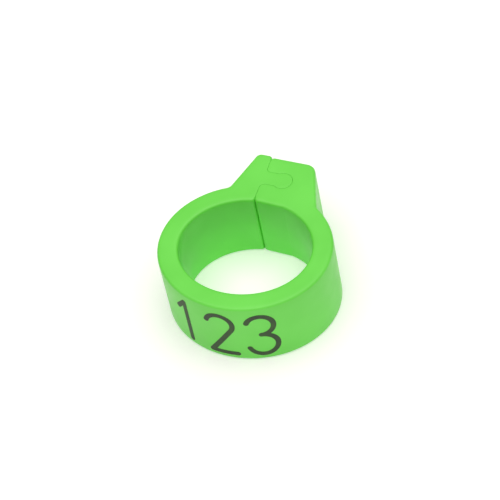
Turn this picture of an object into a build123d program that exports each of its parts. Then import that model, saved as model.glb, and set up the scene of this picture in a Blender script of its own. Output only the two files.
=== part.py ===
from build123d import *
import math
import os

# Clip-on leg band, closed. Millimetres, +Z up.
# Origin: centre of the leg opening on the plane of the lower rim. The clasp points along +Y
# and the number is on the front, towards -Y.

# Driving dimensions: the band
inside_width = 8.36       # leg opening along X, a little wider than deep when the clasp is shut
inside_depth = 7.28       # leg opening along Y
wall = 1.29               # thickness of the band
height = 4.8              # height of the band, rim to rim
edge_round = 0.2          # rounding of the rims' edges

# Driving dimensions: the flex zones and arms, as ellipse angles from the front centre
number_panel_half_angle = 43.0
flex_zone_angle = 14.0
arm_end_angle = 160.0     # inside the clasp block, which is cut off the arms

# Driving dimensions: the clasp
clasp_top = 7.24          # outer face of the latch socket, from the centre
shoulder_top = 7.35       # outer face of the shoulder, a little proud of the socket
shoulder_flank_top = -1.95
shoulder_flank_lean = 0.245   # sideways run of the flank per mm outwards
shoulder_corner_radius = 0.38
socket_flank_top = 1.88
socket_flank_lean = 0.4
socket_corner_radius = 0.7
flank_root_radius = 0.45
flank_root_drop = 0.5     # how far under the outer oval the rounded foot of a flank is looked for
seam_gap = 0.05           # play between the two ends when shut
seam_x_inner = -0.8       # where the seam meets the leg opening
seam_x_outer = -0.98      # where the seam meets the outer face
tip_round = 0.2
left_split_offset = 0.4   # from the foot of a flank to where its arm takes over
right_split_offset = 0.3

# Driving dimensions: the tongue and its slot
tongue_y = 5.5
neck_width = 1.0
bulb_radius = 0.62
bulb_x = 0.38
neck_root_radius = 0.3
lip_length = 0.52
slot_length = 2.0         # from the bulb's centre out past the seam

# Driving dimensions: the number
digit_height = 3.82
digit_width = 2.0
digit_pitch = 2.52
digit_base = 0.36
stroke = 0.33
ink_depth = 0.06          # depth of the stamped groove that the ink fills
ink_proud = 0.015

# Driving dimensions: the shapes of the numerals
one_stem_x = 0.12
one_flag_share = 0.6      # of half the numeral's width
one_flag_drop = 0.75
two_bowl_start = 165.0    # degrees, counted anticlockwise from the right
two_bowl_end = -35.0
three_lower_share = 0.26  # radius of the lower bowl, of the numeral's height
three_open_angle = 160.0

# Worked out from the driving dimensions
inner_a = inside_width / 2
inner_b = inside_depth / 2
outer_a = inner_a + wall
outer_b = inner_b + wall
slot_radius = bulb_radius + seam_gap
lip_height = slot_radius - neck_width / 2 - seam_gap
flex_start = number_panel_half_angle
flex_end = number_panel_half_angle + flex_zone_angle
shoulder_flank_base = shoulder_flank_top - shoulder_flank_lean * (shoulder_top - inner_b)
socket_flank_base = socket_flank_top + socket_flank_lean * (clasp_top - inner_b)
left_split_x = shoulder_flank_base - left_split_offset
right_split_x = socket_flank_base + right_split_offset
reach = 20.0              # larger than the band, for cutting regions
mid_opening = inner_b / 2   # a distance from the centre that is well inside the leg opening


def outline(points):
    """A flat face with straight sides through the points."""
    return make_face(Polyline(*points, close=True))


def prism(face):
    """The face extruded from the lower rim to the upper rim."""
    return extrude(face, amount=height)


def round_corner(solid, x, y, radius):
    """The solid with its upright edge nearest to (x, y) rounded."""
    upright = solid.edges().filter_by(Axis.Z)
    return fillet(upright.sort_by_distance((x, y, height / 2))[0], radius)


def sector(side, start, end):
    """A cutting region on one side (-1 left, 1 right) between two angles from the front."""
    points = [(0, 0)]
    for angle in (start, (start + end) / 2, end):
        turn = math.radians(angle)
        points.append((side * reach * outer_a * math.sin(turn), -reach * outer_b * math.cos(turn)))
    return extrude(outline(points), amount=2 * height, both=True)


def soften(solid, keep_sharp=lambda edge: False):
    """The solid with the edges of both rims rounded, apart from those to keep sharp."""
    rims = solid.edges().group_by(Axis.Z)
    edges = [edge for edge in rims[0] + rims[-1] if not keep_sharp(edge)]
    return fillet(edges, edge_round)


def seam_x(y, play=0.0):
    """Where the straight seam between the two ends lies at a distance y from the centre."""
    lean = (seam_x_outer - seam_x_inner) / (shoulder_top - inner_b)
    return seam_x_inner + play + lean * (y - inner_b)


def half_plan(side, block_top, flank_top, flank_base, play):
    """One half of the band's plan: half the oval ring and the clasp block on its end."""
    seam_in = (seam_x(mid_opening, play), mid_opening)
    seam_out = (seam_x(block_top, play), block_top)
    region = outline([(0, -reach), (0, 0), (seam_x(0, play), 0), seam_in, seam_out,
                      (side * reach, block_top), (side * reach, -reach)])
    block = outline([seam_in, seam_out, (flank_top, block_top), (flank_base, inner_b),
                     (flank_base, mid_opening)])
    return (Ellipse(outer_a, outer_b) & region) + block - Ellipse(inner_a, inner_b)


def left_half():
    """The left half of the band with its shoulder, without the tongue."""
    half = prism(half_plan(-1, shoulder_top, shoulder_flank_top, shoulder_flank_base, 0))
    half = round_corner(half, shoulder_flank_top, shoulder_top, shoulder_corner_radius)
    half = round_corner(half, seam_x_outer, shoulder_top, tip_round)
    half = round_corner(half, shoulder_flank_base, outer_b - flank_root_drop, flank_root_radius)
    return soften(half, lambda edge: abs(edge.center().X - seam_x(edge.center().Y)) < seam_gap)


def right_half():
    """The right half of the band with its latch socket."""
    plan = half_plan(1, clasp_top, socket_flank_top, socket_flank_base, seam_gap)
    half = prism(plan - slot_plan())
    jaw_x = seam_x_outer + seam_gap
    half = round_corner(half, socket_flank_top, clasp_top, socket_corner_radius)
    half = round_corner(half, jaw_x, clasp_top, tip_round)
    half = round_corner(half, jaw_x, tongue_y - slot_radius, neck_root_radius)
    half = round_corner(half, jaw_x, tongue_y + slot_radius, tip_round)
    return soften(half)


def slot_plan():
    """The straight slot with a round end that takes the tongue."""
    passage = Pos(bulb_x - slot_length / 2, tongue_y) * Rectangle(slot_length, 2 * slot_radius)
    return passage + Pos(bulb_x, tongue_y) * Circle(slot_radius)


def tongue_plan():
    """The tongue on the shoulder: a flared root, a straight neck and a round bulb."""
    root_x = seam_x(tongue_y)
    root_y = neck_width / 2 + neck_root_radius
    neck = Pos((root_x + bulb_x) / 2, tongue_y) * Rectangle(bulb_x - root_x, neck_width)
    root = Pos(root_x + neck_root_radius / 2, tongue_y) * Rectangle(neck_root_radius, 2 * root_y)
    for y in (tongue_y - root_y, tongue_y + root_y):
        root = root - Pos(root_x + neck_root_radius, y) * Circle(neck_root_radius)
    return neck + root + Pos(bulb_x, tongue_y) * Circle(bulb_radius)


def lip(outwards):
    """A snap lip on the slot's mouth, which gives way as the bulb passes."""
    wall_y = tongue_y + outwards * slot_radius
    crest_y = wall_y - outwards * lip_height
    end_x = -lip_length
    plan = outline([(0, wall_y), (0, crest_y), (end_x, crest_y), (end_x, wall_y)])
    return prism(plan)


def front_ring():
    """The whole oval ring, from which the front band and the flex zones are cut."""
    return soften(prism(Ellipse(outer_a, outer_b) - Ellipse(inner_a, inner_b)))


def pen(*edges):
    """A stroke of the number: the path widened to the pen's width, with round ends."""
    return Face(Wire(edges).offset_2d(stroke / 2, side=Side.BOTH, closed=True))


def numeral_one(half_width, low, high):
    """The numeral 1."""
    top = (one_stem_x, high)
    flag = Line((-half_width * one_flag_share, high - one_flag_drop), top)
    return pen(flag, Line(top, (one_stem_x, low)))


def numeral_two(half_width, low, high):
    """The numeral 2."""
    centre_y = high - half_width
    turn = math.radians(two_bowl_end)
    tail = (half_width * math.cos(turn), centre_y + half_width * math.sin(turn))
    bowl = CenterArc((0, centre_y), half_width, two_bowl_start, two_bowl_end - two_bowl_start)
    return pen(bowl, Line(tail, (-half_width, low)), Line((-half_width, low), (half_width, low)))


def numeral_three(half_width, low, high):
    """The numeral 3."""
    lower = (high - low) * three_lower_share
    upper = (high - low) / 2 - lower
    waist = low + 2 * lower
    sweep = three_open_angle + 90
    top_bowl = CenterArc((0, waist + upper), upper, three_open_angle, -sweep)
    bottom_bowl = CenterArc((0, waist - lower), lower, 90, -sweep)
    return pen(top_bowl, bottom_bowl)


def angle_at(distance):
    """The angle from the front centre that lies this far round the outer oval."""
    turn, step, travelled = 0.0, 0.001, 0.0
    while travelled < abs(distance):
        turn += step
        travelled += math.hypot(outer_a * math.cos(turn), outer_b * math.sin(turn)) * step
    return math.copysign(turn, distance)


def numeral_prism(face, distance):
    """The numeral pushed straight through the band's face, this far round from the front."""
    turn = angle_at(distance)
    origin = (outer_a * math.sin(turn), -outer_b * math.cos(turn), digit_base)
    normal = (math.sin(turn) / outer_a, -math.cos(turn) / outer_b, 0)
    across = (-normal[1], normal[0], 0)
    place = Plane(origin=origin, x_dir=across, z_dir=normal)
    return extrude(place * face, amount=wall, both=True)


def ink_layer():
    """The layer that the ink fills: a shallow stamped groove and a little above it."""
    outside = Ellipse(outer_a + ink_proud, outer_b + ink_proud)
    return prism(outside - Ellipse(outer_a - ink_depth, outer_b - ink_depth))


def block_region(start_x, side):
    """A cutting region that holds the clasp block on one side."""
    return Pos(start_x - side * reach / 2, reach / 2, 0) * Box(reach, reach, 2 * reach)


os.makedirs("parts", exist_ok=True)

pen_half_width = (digit_width - stroke) / 2
pen_low = stroke / 2
pen_high = digit_height - stroke / 2
numerals = [numeral(pen_half_width, pen_low, pen_high)
            for numeral in (numeral_one, numeral_two, numeral_three)]
layer = ink_layer()
digits = [numeral_prism(face, place * digit_pitch) & layer
          for face, place in zip(numerals, (-1, 0, 1))]

ring = front_ring()
left = left_half()
right = right_half()
left_block = block_region(left_split_x, -1)
right_block = block_region(right_split_x, 1)

front_band = ring & (sector(-1, 0, flex_start) + sector(1, 0, flex_start))
for digit in digits:
    front_band = front_band - digit

nodes = {
    "front_band": front_band,
    "flex_zone_left": ring & sector(-1, flex_start, flex_end),
    "flex_zone_right": ring & sector(1, flex_start, flex_end),
    "left_arm": (left & sector(-1, flex_end, arm_end_angle)) - left_block,
    "left_shoulder": left & left_block,
    "latch_tongue": prism(tongue_plan()) - left,
    "right_arm": (right & sector(1, flex_end, arm_end_angle)) - right_block,
    "latch_socket": right & right_block,
    "inner_snap_lip": lip(-1),
    "outer_snap_lip": lip(1),
}
for number, digit in enumerate(digits, start=1):
    nodes[f"digit_{number}"] = digit

for name, solid in nodes.items():
    export_step(solid, f"parts/{name}.step")
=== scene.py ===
import math

import bmesh
import bpy
from mathutils import Matrix, Vector
from mathutils.geometry import delaunay_2d_cdt


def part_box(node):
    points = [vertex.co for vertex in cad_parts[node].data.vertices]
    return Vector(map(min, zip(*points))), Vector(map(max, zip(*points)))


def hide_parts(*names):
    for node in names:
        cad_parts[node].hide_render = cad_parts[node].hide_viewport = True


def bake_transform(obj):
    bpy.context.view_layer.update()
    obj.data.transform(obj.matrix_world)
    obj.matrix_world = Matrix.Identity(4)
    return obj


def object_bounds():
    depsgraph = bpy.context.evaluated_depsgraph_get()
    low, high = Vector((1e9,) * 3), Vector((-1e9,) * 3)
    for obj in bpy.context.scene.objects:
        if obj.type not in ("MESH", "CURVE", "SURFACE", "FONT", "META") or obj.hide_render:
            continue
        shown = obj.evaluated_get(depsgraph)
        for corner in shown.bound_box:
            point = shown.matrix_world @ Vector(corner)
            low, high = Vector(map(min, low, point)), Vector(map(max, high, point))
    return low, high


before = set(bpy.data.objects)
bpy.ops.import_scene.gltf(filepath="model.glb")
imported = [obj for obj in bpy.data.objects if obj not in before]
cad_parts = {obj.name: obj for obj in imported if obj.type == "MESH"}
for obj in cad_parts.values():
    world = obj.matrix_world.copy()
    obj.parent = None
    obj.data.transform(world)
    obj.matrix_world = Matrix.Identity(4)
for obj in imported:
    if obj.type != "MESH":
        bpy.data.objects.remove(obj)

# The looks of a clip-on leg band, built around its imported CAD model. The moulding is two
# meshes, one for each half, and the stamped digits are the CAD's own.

cad_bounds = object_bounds()

MM = 0.001


def box_mm(node):
    """A CAD node's lowest and highest corners in millimetres."""
    return [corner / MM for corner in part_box(node)]


# ---- Sizes from the frame, in millimetres ----
front_low, front_high = box_mm("front_band")
tongue_low, tongue_high = box_mm("latch_tongue")
HEIGHT = front_high.z
OUTER_A = cad_bounds[1].x / MM
OUTER_B = -front_low.y
SHOULDER_TOP = box_mm("left_shoulder")[1].y
SOCKET_TOP = box_mm("latch_socket")[1].y
TONGUE_Y = (tongue_low.y + tongue_high.y) / 2

# ---- Sizes of the looks, in millimetres ----
WALL = 1.29
INNER_A = OUTER_A - WALL
INNER_B = OUTER_B - WALL
EDGE_ROUND = 0.18         # rounding of both rims
TIP_ROUND = 0.21          # upright corners of the band's two ends
SEAM_GAP = 0.01           # between the two ends, much less than the play that the CAD leaves
SEAM_ROUND = 0.02         # rounding of the rims where the two ends meet inside the clasp
SEAM_FADE = 0.35          # over this length it grows to the rounding of the other edges
SEAM_X = -0.8             # where the seam leaves the leg opening
SEAM_LEAN = -0.051        # sideways run of the seam per mm outwards
SHOULDER_X = -1.95        # top of the shoulder's flank
SHOULDER_LEAN = 0.245     # sideways run of the flank per mm outwards
SHOULDER_CORNER = 0.38
SHOULDER_ROOT = 0.45
SHOULDER_FOOT = 0.87 * OUTER_B   # how far out the rounded foot of the flank is
SOCKET_X = 1.88
SOCKET_LEAN = 0.4
SOCKET_CORNER = 0.7
SOCKET_ROOT = 0.25
SOCKET_FOOT = 0.825 * OUTER_B
LEFT_TIP_Y = 0.982 * INNER_B     # the left end's corner at the leg opening
RIGHT_TIP_Y = 0.984 * INNER_B
NECK = 0.5                # half the tongue's width
NECK_ROOT = 0.3
BULB = 0.62               # radius of the tongue's round end
BULB_X = 0.38
SEAM_LEFT = -1.3          # the seam and the tongue lie between these
SEAM_RIGHT = 1.3

# ---- How finely the meshes are made ----
SPACING = 0.07            # millimetres between the points of an outline
ROUND_DETAIL = 1.5        # how much closer they lie on a rounded corner
MIN_ROUND_STEPS = 4
BULB_STEPS = 36           # round the bulb, and round its slot
OVAL_STEP = 0.7           # degrees between the points of an oval
CORNER_CLEARANCE = 5      # degrees by which an oval stops short of a rounded corner
SOCKET_CLEARANCE = 3      # the same at the foot of the socket's flank
WALL_ROWS = 8
ROUND_ROWS = 5
FILL_SPACING = 0.22       # between the points inside a rim's flat face
FILL_CLEARANCE = 0.45     # share of that spacing kept clear along the face's edge
FILL_ROW_PITCH = 0.866    # rows of a triangular grid lie this share of the spacing apart
FILL_TOLERANCE = 1e-7
MERGE_DISTANCE = 1e-5
FRONT_CUT_TOLERANCE = 1e-6
SHARP_ANGLE = 40          # degrees between faces above which their edge stays sharp


# ---- Outlines, as points (x, y, corner radius) ----
def oval(side, half_a, half_b, start, end):
    """Points on an oval, from one angle to another, counted from the front to one side."""
    steps = max(2, round(abs(end - start) / OVAL_STEP))
    turns = [math.radians(start + (end - start) * k / steps) for k in range(steps + 1)]
    return [(side * half_a * math.sin(t), -half_b * math.cos(t), 0) for t in turns]


def oval_angle(half_a, x):
    """The angle from the front at which the back of an oval is this far to one side."""
    return 180 - math.degrees(math.asin(abs(x) / half_a))


def seam_at(y, play):
    """Where the seam lies at a distance y from the centre."""
    return SEAM_X + play + SEAM_LEAN * (y - INNER_B)


def rounded(corners):
    """A closed outline with its corners rounded and its straight runs divided."""
    path = []
    count = len(corners)
    for k, (x, y, radius) in enumerate(corners):
        here = Vector((x, y))
        if not radius:
            path.append(here)
            continue
        before = (Vector(corners[k - 1][:2]) - here).normalized()
        after = (Vector(corners[(k + 1) % count][:2]) - here).normalized()
        half = before.angle(after) / 2
        centre = here + (before + after).normalized() * (radius / math.sin(half))
        first = here + before * (radius / math.tan(half)) - centre
        last = here + after * (radius / math.tan(half)) - centre
        turn = math.pi - 2 * half
        steps = max(MIN_ROUND_STEPS, round(radius * turn / SPACING * ROUND_DETAIL))
        sense = 1 if first.x * last.y - first.y * last.x > 0 else -1
        path += [centre + Matrix.Rotation(sense * turn * i / steps, 2) @ first
                 for i in range(steps + 1)]
    divided = []
    for here, after in zip(path, path[1:] + path[:1]):
        steps = max(1, round((after - here).length / SPACING))
        divided += [here.lerp(after, i / steps) for i in range(steps)]
    return divided


def left_outline():
    """The left half: from the front, inside the leg opening, round the tongue and back outside."""
    root_x = seam_at(TONGUE_Y, 0)
    base_x = SHOULDER_X - SHOULDER_LEAN * (SHOULDER_TOP - SHOULDER_FOOT)
    bulb_turn = math.asin(NECK / BULB)
    neck_end = BULB_X - BULB * math.cos(bulb_turn)
    tip_x = seam_at(LEFT_TIP_Y, 0)
    corners = oval(-1, INNER_A, INNER_B, 0, oval_angle(INNER_A, tip_x) - CORNER_CLEARANCE)
    corners.append((tip_x, LEFT_TIP_Y, TIP_ROUND))
    corners.append((root_x, TONGUE_Y - NECK, NECK_ROOT))
    corners.append((neck_end, TONGUE_Y - NECK, 0))
    for k in range(1, BULB_STEPS):
        turn = math.pi + bulb_turn + (2 * math.pi - 2 * bulb_turn) * k / BULB_STEPS
        corners.append((BULB_X + BULB * math.cos(turn), TONGUE_Y + BULB * math.sin(turn), 0))
    corners.append((neck_end, TONGUE_Y + NECK, 0))
    corners.append((root_x, TONGUE_Y + NECK, NECK_ROOT))
    corners.append((seam_at(SHOULDER_TOP, 0), SHOULDER_TOP, TIP_ROUND))
    corners.append((SHOULDER_X, SHOULDER_TOP, SHOULDER_CORNER))
    corners.append((base_x, SHOULDER_FOOT, SHOULDER_ROOT))
    corners += oval(-1, OUTER_A, OUTER_B, oval_angle(OUTER_A, base_x) - CORNER_CLEARANCE, 0)
    return rounded(corners)


def right_outline():
    """The right half: from the front, outside, round the socket and its slot and back inside."""
    base_x = SOCKET_X + SOCKET_LEAN * (SOCKET_TOP - SOCKET_FOOT)
    slot = BULB + SEAM_GAP
    lip = NECK + SEAM_GAP
    jaw_x = seam_at(TONGUE_Y, SEAM_GAP)
    tip_x = seam_at(RIGHT_TIP_Y, SEAM_GAP)
    corners = oval(1, OUTER_A, OUTER_B, 0, oval_angle(OUTER_A, base_x) - SOCKET_CLEARANCE)
    corners.append((base_x, SOCKET_FOOT, SOCKET_ROOT))
    corners.append((SOCKET_X, SOCKET_TOP, SOCKET_CORNER))
    corners.append((seam_at(SOCKET_TOP, SEAM_GAP), SOCKET_TOP, TIP_ROUND))
    corners.append((jaw_x, TONGUE_Y + lip, NECK_ROOT - SEAM_GAP))
    mouth_turn = math.pi - math.asin(lip / slot)
    for k in range(BULB_STEPS + 1):
        turn = mouth_turn * (1 - 2 * k / BULB_STEPS)
        corners.append((BULB_X + slot * math.cos(turn), TONGUE_Y + slot * math.sin(turn), 0))
    corners.append((jaw_x, TONGUE_Y - lip, NECK_ROOT - SEAM_GAP))
    corners.append((tip_x, RIGHT_TIP_Y, TIP_ROUND))
    corners += oval(1, INNER_A, INNER_B, oval_angle(INNER_A, tip_x) - CORNER_CLEARANCE, 0)
    return rounded(corners)


# ---- The mesh of one half of the band ----
def inward_normals(path):
    """For each point of a closed outline, the step inwards that moves both its runs by one."""
    area = sum(a.x * b.y - a.y * b.x for a, b in zip(path, path[1:] + path[:1]))
    turn = 1 if area > 0 else -1
    steps = []
    for k, here in enumerate(path):
        before = (here - path[k - 1]).normalized()
        after = (path[(k + 1) % len(path)] - here).normalized()
        normals = [Vector((-d.y, d.x)) * turn for d in (before, after)]
        if abs(here.x) < FRONT_CUT_TOLERANCE and here.y < 0:
            # The cut at the front stays in its plane.
            steps.append(Vector((0, 1 if here.y < -(INNER_B + WALL / 2) else -1)))
        else:
            steps.append((normals[0] + normals[1]) / (1 + normals[0].dot(normals[1])))
    return steps


def inside(point, path):
    """True if a point lies inside a closed outline."""
    hit = False
    for a, b in zip(path, path[1:] + path[:1]):
        if (a.y > point.y) != (b.y > point.y):
            if point.x < a.x + (b.x - a.x) * (point.y - a.y) / (b.y - a.y):
                hit = not hit
    return hit


def fill_points(path):
    """Evenly spread points inside an outline, clear of its edge."""
    low_x, high_x = min(p.x for p in path), max(p.x for p in path)
    low_y, high_y = min(p.y for p in path), max(p.y for p in path)
    found = []
    clearance = FILL_SPACING * FILL_CLEARANCE
    row = 0
    y = low_y
    while y < high_y:
        x = low_x + (FILL_SPACING / 2 if row % 2 else 0)
        while x < high_x:
            point = Vector((x, y))
            if inside(point, path) and min((point - p).length for p in path) > clearance:
                found.append(point)
            x += FILL_SPACING
        y += FILL_SPACING * FILL_ROW_PITCH
        row += 1
    return found


def rim_round(point):
    """The rounding of the rims at a point of an outline: small inside the clasp's seam."""
    if not SEAM_LEFT < point.x < SEAM_RIGHT:
        return EDGE_ROUND
    depth = min(point.y - INNER_B, SOCKET_TOP - point.y)
    share = min(max(1 - depth / SEAM_FADE, 0), 1)
    return SEAM_ROUND + (EDGE_ROUND - SEAM_ROUND) * share


def half_band(name, path):
    """The mesh of one half: upright walls, rounded rims and flat faces top and bottom."""
    steps = inward_normals(path)
    radii = [rim_round(point) for point in path]
    mesh = bmesh.new()

    def level(place):
        """One loop of points; place gives the inset and height for a rounding radius."""
        loop = []
        for point, step, radius in zip(path, steps, radii):
            inset, z = place(radius)
            loop.append(mesh.verts.new((point.x + step.x * inset, point.y + step.y * inset, z)))
        return loop

    turns = [math.pi / 2 * k / ROUND_ROWS for k in range(ROUND_ROWS + 1)]
    loops = [level(lambda r: (r * (1 - math.sin(t)), r * (1 - math.cos(t)))) for t in turns]
    for k in range(1, WALL_ROWS):
        loops.append(level(lambda r: (0, r + (HEIGHT - 2 * r) * k / WALL_ROWS)))
    loops += [level(lambda r: (r * (1 - math.sin(t)), HEIGHT - r * (1 - math.cos(t))))
              for t in reversed(turns)]
    count = len(path)
    for lower, upper in zip(loops, loops[1:]):
        for k in range(count):
            after = (k + 1) % count
            mesh.faces.new((lower[k], lower[after], upper[after], upper[k]))
    rim = [p + s * r for p, s, r in zip(path, steps, radii)]
    edges = [(k, (k + 1) % count) for k in range(count)]
    points, _, faces, origins, _, _ = delaunay_2d_cdt(rim + fill_points(rim), edges, [], 1,
                                                      FILL_TOLERANCE)
    for loop, z in ((loops[0], 0), (loops[-1], HEIGHT)):
        made = []
        for point, source in zip(points, origins):
            first = source[0] if source else count
            made.append(loop[first] if first < count else mesh.verts.new((*point, z)))
        for face in faces:
            mesh.faces.new([made[k] for k in face])
    bmesh.ops.remove_doubles(mesh, verts=mesh.verts, dist=MERGE_DISTANCE)
    bmesh.ops.recalc_face_normals(mesh, faces=mesh.faces)
    bmesh.ops.scale(mesh, vec=(MM, MM, MM), verts=mesh.verts)
    data = bpy.data.meshes.new(name)
    mesh.to_mesh(data)
    mesh.free()
    data.shade_smooth()
    data.set_sharp_from_angle(angle=math.radians(SHARP_ANGLE))
    piece = bpy.data.objects.new(name, data)
    bpy.context.collection.objects.link(piece)
    return piece


# ---- Materials ----
PLASTIC_DEEP = (0.135, 0.71, 0.063)
PLASTIC_PALE = (0.16, 0.78, 0.08)
INK_DEEP = (0.012, 0.035, 0.006)
INK_WORN = (0.045, 0.1, 0.025)
CLOUD_SCALE = 260         # of the noises, per metre
SHEEN_SCALE = 900
WEAR_SCALE = 1500
GRAIN_SCALE = 2600
INK_GRAIN_SCALE = 4000
GRAIN_HEIGHT = 0.02 * MM
NOISE_LOW = 0.3           # nearly all of a noise lies between these
NOISE_HIGH = 0.7


def node_material(name):
    """A new material, its node tree and its Principled shader."""
    material = bpy.data.materials.new(name)
    material.use_nodes = True
    tree = material.node_tree
    return material, tree, tree.nodes["Principled BSDF"]


def noise(tree, coordinates, scale, detail):
    """A noise texture on the object's own coordinates."""
    texture = tree.nodes.new("ShaderNodeTexNoise")
    texture.inputs["Scale"].default_value = scale
    texture.inputs["Detail"].default_value = detail
    tree.links.new(coordinates, texture.inputs["Vector"])
    return texture.outputs["Fac"]


def ramp(tree, value, low, high, first, last):
    """A colour ramp from one colour to another between two values."""
    node = tree.nodes.new("ShaderNodeValToRGB")
    node.color_ramp.elements[0].position = low
    node.color_ramp.elements[1].position = high
    node.color_ramp.elements[0].color = (*first, 1)
    node.color_ramp.elements[1].color = (*last, 1)
    tree.links.new(value, node.inputs["Fac"])
    return node.outputs["Color"]


def remap(tree, value, low, high):
    """A noise value spread over a range."""
    node = tree.nodes.new("ShaderNodeMapRange")
    node.inputs["From Min"].default_value = NOISE_LOW
    node.inputs["From Max"].default_value = NOISE_HIGH
    node.inputs["To Min"].default_value = low
    node.inputs["To Max"].default_value = high
    tree.links.new(value, node.inputs["Value"])
    return node.outputs["Result"]


def bump(tree, shader, value, strength):
    """A bump on the shader from a height."""
    node = tree.nodes.new("ShaderNodeBump")
    node.inputs["Strength"].default_value = strength
    node.inputs["Distance"].default_value = GRAIN_HEIGHT
    tree.links.new(value, node.inputs["Height"])
    tree.links.new(node.outputs["Normal"], shader.inputs["Normal"])


def green_plastic():
    """Bright green moulded plastic, satin and faintly cloudy."""
    material, tree, shader = node_material("green_plastic")
    place = tree.nodes.new("ShaderNodeTexCoord").outputs["Object"]
    cloud = noise(tree, place, CLOUD_SCALE, 2)
    colour = ramp(tree, cloud, NOISE_LOW, NOISE_HIGH, PLASTIC_DEEP, PLASTIC_PALE)
    tree.links.new(colour, shader.inputs["Base Color"])
    sheen = remap(tree, noise(tree, place, SHEEN_SCALE, 3), 0.36, 0.46)
    tree.links.new(sheen, shader.inputs["Roughness"])
    bump(tree, shader, noise(tree, place, GRAIN_SCALE, 4), 0.12)
    return material


def stamped_ink():
    """Dark brown-black marking ink, matte and uneven."""
    material, tree, shader = node_material("stamped_ink")
    place = tree.nodes.new("ShaderNodeTexCoord").outputs["Object"]
    wear = noise(tree, place, WEAR_SCALE, 5)
    colour = ramp(tree, wear, 0.35, 0.75, INK_DEEP, INK_WORN)
    tree.links.new(colour, shader.inputs["Base Color"])
    tree.links.new(remap(tree, wear, 0.5, 0.7), shader.inputs["Roughness"])
    bump(tree, shader, noise(tree, place, INK_GRAIN_SCALE, 4), 0.3)
    return material


def give(piece, material):
    """The piece with this as its only material."""
    piece.data.materials.clear()
    piece.data.materials.append(material)


# ---- The object ----
plastic = green_plastic()
ink = stamped_ink()

left_half = half_band("left_half", left_outline())
right_half = half_band("right_half", right_outline())
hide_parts("left_arm", "left_shoulder", "latch_tongue", "flex_zone_left",
            "front_band")
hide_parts("right_arm", "latch_socket", "inner_snap_lip", "outer_snap_lip",
            "flex_zone_right")
for half, side, body in ((left_half, -1, "left_end"), (right_half, 1, "right_end")):
    give(half, plastic)
    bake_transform(half)
for number in (1, 2, 3):
    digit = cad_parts[f"digit_{number}"]
    for slot in digit.material_slots:
        slot.material = ink


# ---- The floor, the light and the camera ----
FLOOR_REACH = 0.6         # half the floor's width, in metres
FLOOR_COLOUR = (0.92, 0.92, 0.92, 1)
FLOOR_GLOW = 0.2          # the floor is lit from inside, as on a light table
SURROUND_STRENGTH = 0.25
KEY_AZIMUTH = 60
KEY_ELEVATION = 85
KEY_DISTANCE = 0.2
KEY_WIDTH = 0.3
KEY_POWER = 0.56
KEY_COLOUR = (1, 0.92, 0.9)
CAMERA_AZIMUTH = 31
CAMERA_ELEVATION = 48.8
CAMERA_ROLL = -12.7       # the band leans to the left in the view
CAMERA_DISTANCE = 150 * MM
VIEW_WIDTH = 30.98 * MM   # width of the view at the band
VIEW_RIGHT = 0.366 * MM   # the leg opening's place right of the middle of the view
VIEW_DOWN = 2.83 * MM


def add_floor():
    """A wide pale floor under the band."""
    mesh = bmesh.new()
    bmesh.ops.create_grid(mesh, x_segments=8, y_segments=8, size=FLOOR_REACH)
    data = bpy.data.meshes.new("floor")
    mesh.to_mesh(data)
    mesh.free()
    floor = bpy.data.objects.new("floor", data)
    bpy.context.collection.objects.link(floor)
    material, _, shader = node_material("pale_floor")
    shader.inputs["Base Color"].default_value = FLOOR_COLOUR
    shader.inputs["Roughness"].default_value = 0.9
    shader.inputs["Emission Color"].default_value = (1, 1, 1, 1)
    shader.inputs["Emission Strength"].default_value = FLOOR_GLOW
    give(floor, material)


def direction(azimuth, elevation):
    """The way from the band to a place this far round from the front and this high."""
    turn, rise = math.radians(azimuth), math.radians(elevation)
    return Vector((math.sin(turn) * math.cos(rise), -math.cos(turn) * math.cos(rise),
                   math.sin(rise)))


def add_key_light():
    """A soft square light almost straight above the band."""
    light = bpy.data.lights.new("key", "AREA")
    light.size = KEY_WIDTH
    light.energy = KEY_POWER
    light.color = KEY_COLOUR
    lamp = bpy.data.objects.new("key", light)
    back = direction(KEY_AZIMUTH, KEY_ELEVATION)
    lamp.location = back * KEY_DISTANCE
    lamp.rotation_euler = back.to_track_quat("Z", "Y").to_euler()
    bpy.context.collection.objects.link(lamp)


def add_world():
    """An even white surround."""
    world = bpy.data.worlds.new("surround")
    world.use_nodes = True
    background = world.node_tree.nodes["Background"]
    background.inputs["Color"].default_value = (1, 1, 1, 1)
    background.inputs["Strength"].default_value = SURROUND_STRENGTH
    bpy.context.scene.world = world


def add_camera():
    """A long lens above the front right of the band."""
    turn, roll = math.radians(CAMERA_AZIMUTH), math.radians(CAMERA_ROLL)
    right = Vector((math.cos(turn), math.sin(turn), 0))
    back = direction(CAMERA_AZIMUTH, CAMERA_ELEVATION)
    up = back.cross(right)
    across = right * math.cos(roll) + up * math.sin(roll)
    upwards = up * math.cos(roll) - right * math.sin(roll)
    data = bpy.data.cameras.new("camera")
    data.lens = data.sensor_width * CAMERA_DISTANCE / VIEW_WIDTH
    data.clip_start = 0.01
    data.clip_end = 5
    camera = bpy.data.objects.new("camera", data)
    middle = upwards * VIEW_DOWN - across * VIEW_RIGHT
    place = Matrix((across, upwards, back)).transposed().to_4x4()
    place.translation = middle + back * CAMERA_DISTANCE
    camera.matrix_world = place
    bpy.context.collection.objects.link(camera)
    bpy.context.scene.camera = camera


add_floor()
add_world()
add_key_light()
add_camera()
bpy.context.scene.view_settings.view_transform = "Standard"
